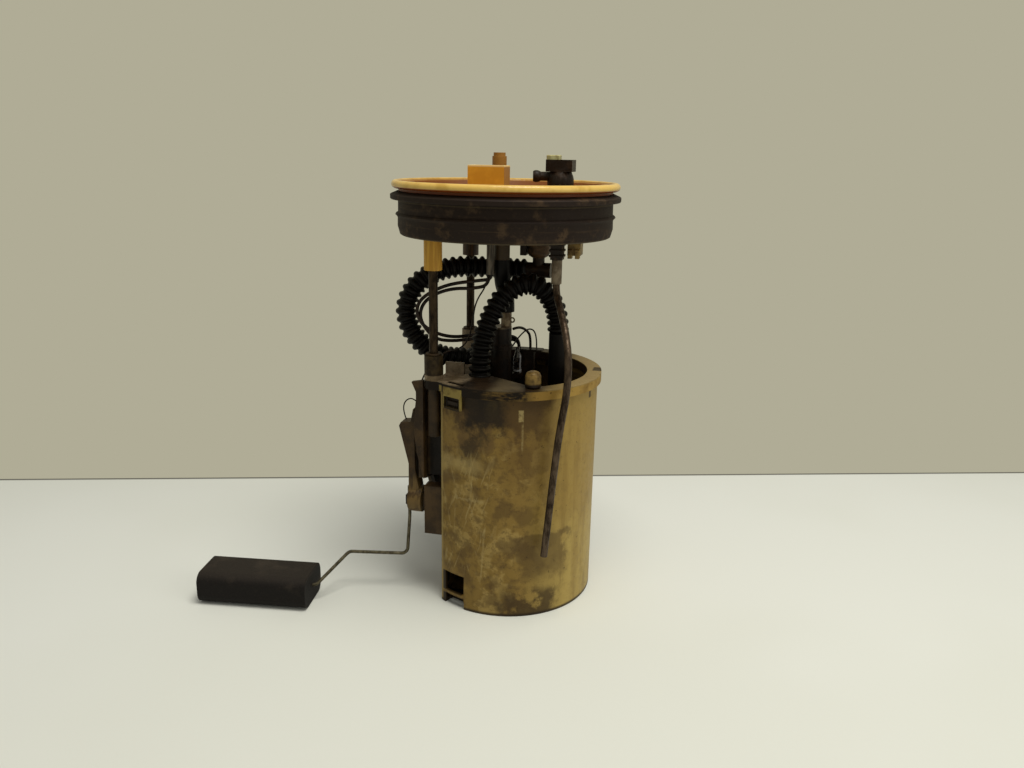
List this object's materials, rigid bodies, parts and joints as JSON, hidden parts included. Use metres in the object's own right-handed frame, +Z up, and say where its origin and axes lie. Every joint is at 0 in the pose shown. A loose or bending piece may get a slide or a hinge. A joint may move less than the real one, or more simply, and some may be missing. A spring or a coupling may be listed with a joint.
{
  "type": "fuel pump",
  "caption": "In-tank fuel pump module: round sealed flange on guide rods above a fuel canister with pump, hoses, wiring and a float level sender",
  "frame": {"origin": "middle of the canister's round wall, on its underside", "axes": "+Z up along the canister and the guide rods, -X out of the canister's flat side with the float sender, -Y towards the side the float lies on"},
  "size_m": [0.232, 0.1482, 0.2592],
  "materials": {
    "aged_amber": "aged acetal, semi-gloss",
    "stained_cream": "fuel-stained acetal",
    "taupe_plastic": "stained glass-filled plastic",
    "black_plastic": "satin",
    "hose_black": "glossy polyamide",
    "seal_rubber": "dusty",
    "wire_cover": "satin insulation",
    "plain_steel": "mottled",
    "foam_black": "matt closed-cell foam",
    "tinned_brass": "plain",
    "carbon": "matt",
    "magnet": "matt",
    "card_ceramic": "printed",
    "clear_plastic": "clear",
    "cast_alloy": "die cast"
  },
  "bodies": {
    "canister": {"canister": "stained_cream", "canister_lid": "stained_cream", "lid_plug": "stained_cream", "inner_cover": "stained_cream", "rod_guide_front": "taupe_plastic", "rod_guide_rear": "taupe_plastic", "sender_carrier": "taupe_plastic", "sender_housing": "taupe_plastic", "regulator_tower": "taupe_plastic", "jet_pump": "taupe_plastic", "pump_top_cover": "taupe_plastic", "pump_connector": "black_plastic", "inlet_strainer": "black_plastic", "arched_hose": "hose_black", "arched_hose_cuff": "hose_black", "foot_valve": "seal_rubber", "pump_seat": "seal_rubber", "pump_cables": "wire_cover", "pivot_pin": "plain_steel", "pump_case": "plain_steel", "check_valve_spring": "plain_steel", "brush_springs": "plain_steel", "shaft_bushes": "tinned_brass", "carbon_brushes": "carbon", "field_magnets": "magnet", "ceramic_card": "card_ceramic", "clear_nozzle": "clear_plastic", "pump_inlet_cover": "cast_alloy"},
    "flange": {"flange_plate": "aged_amber", "terminal_blades": "tinned_brass", "seal_ring": "seal_rubber", "guide_rod_front": "plain_steel", "guide_rod_rear": "plain_steel", "connector_seals": "seal_rubber", "valve_block": "black_plastic", "relief_valve": "taupe_plastic", "feed_elbow": "taupe_plastic", "pickup_boss": "black_plastic", "lugged_fitting": "stained_cream", "pickup_tube": "plain_steel", "pickup_sleeve": "taupe_plastic", "feed_hose": "hose_black", "return_hose": "hose_black", "lead_bundle": "wire_cover", "power_wires": "wire_cover", "sender_wires": "wire_cover"},
    "elbow": {"quick_connector": "black_plastic", "button_spring": "plain_steel"},
    "button": {"release_button": "aged_amber"},
    "rotor": {"armature": "plain_steel", "motor_shaft": "plain_steel", "commutator": "tinned_brass", "impeller": "taupe_plastic"},
    "check_valve": {"check_valve_poppet": "black_plastic"},
    "sender_arm": {"wiper_holder": "taupe_plastic", "wiper_contacts": "tinned_brass", "float_arm": "plain_steel", "arm_clip": "black_plastic", "wiper_lead": "wire_cover"},
    "float_block": {"float": "foam_black"}
  },
  "joints": [
    {"name": "flange_slide", "type": "slide", "parent": "canister", "child": "flange", "axis": [0, 0, -1], "range_m": [0, 0.015], "deforming": ["feed_hose", "return_hose", "power_wires", "sender_wires"]},
    {"name": "float_arm_hinge", "type": "hinge", "parent": "canister", "child": "sender_arm", "pos_m": [-0.0489, -0.0325, 0.0605], "axis": [-1, 0, 0], "range_deg": [0, 85], "deforming": ["wiper_lead"]},
    {"name": "float_spin", "type": "hinge", "parent": "sender_arm", "child": "float_block", "pos_m": [-0.1027, -0.0606, 0.01], "axis": [-0.9921, -0.1253, 0], "continuous": true},
    {"name": "armature_spin", "type": "hinge", "parent": "canister", "child": "rotor", "pos_m": [-0.0076, 0.004, 0.06], "axis": [0, 0, 1], "continuous": true},
    {"name": "elbow_swivel", "type": "hinge", "parent": "flange", "child": "elbow", "pos_m": [0.025, 0.0055, 0.245], "axis": [0, 0, 1], "continuous": true},
    {"name": "release_button", "type": "slide", "parent": "elbow", "child": "button", "axis": [0, 0, -1], "range_m": [0, 0.0015], "stiffness_N_per_m": 100, "springref_m": -0.002, "deforming": ["button_spring"]},
    {"name": "check_valve_lift", "type": "slide", "parent": "canister", "child": "check_valve", "axis": [0, 0, 1], "range_m": [0, 0.0015], "stiffness_N_per_m": 50, "springref_m": -0.002, "deforming": ["check_valve_spring"]}
  ]
}
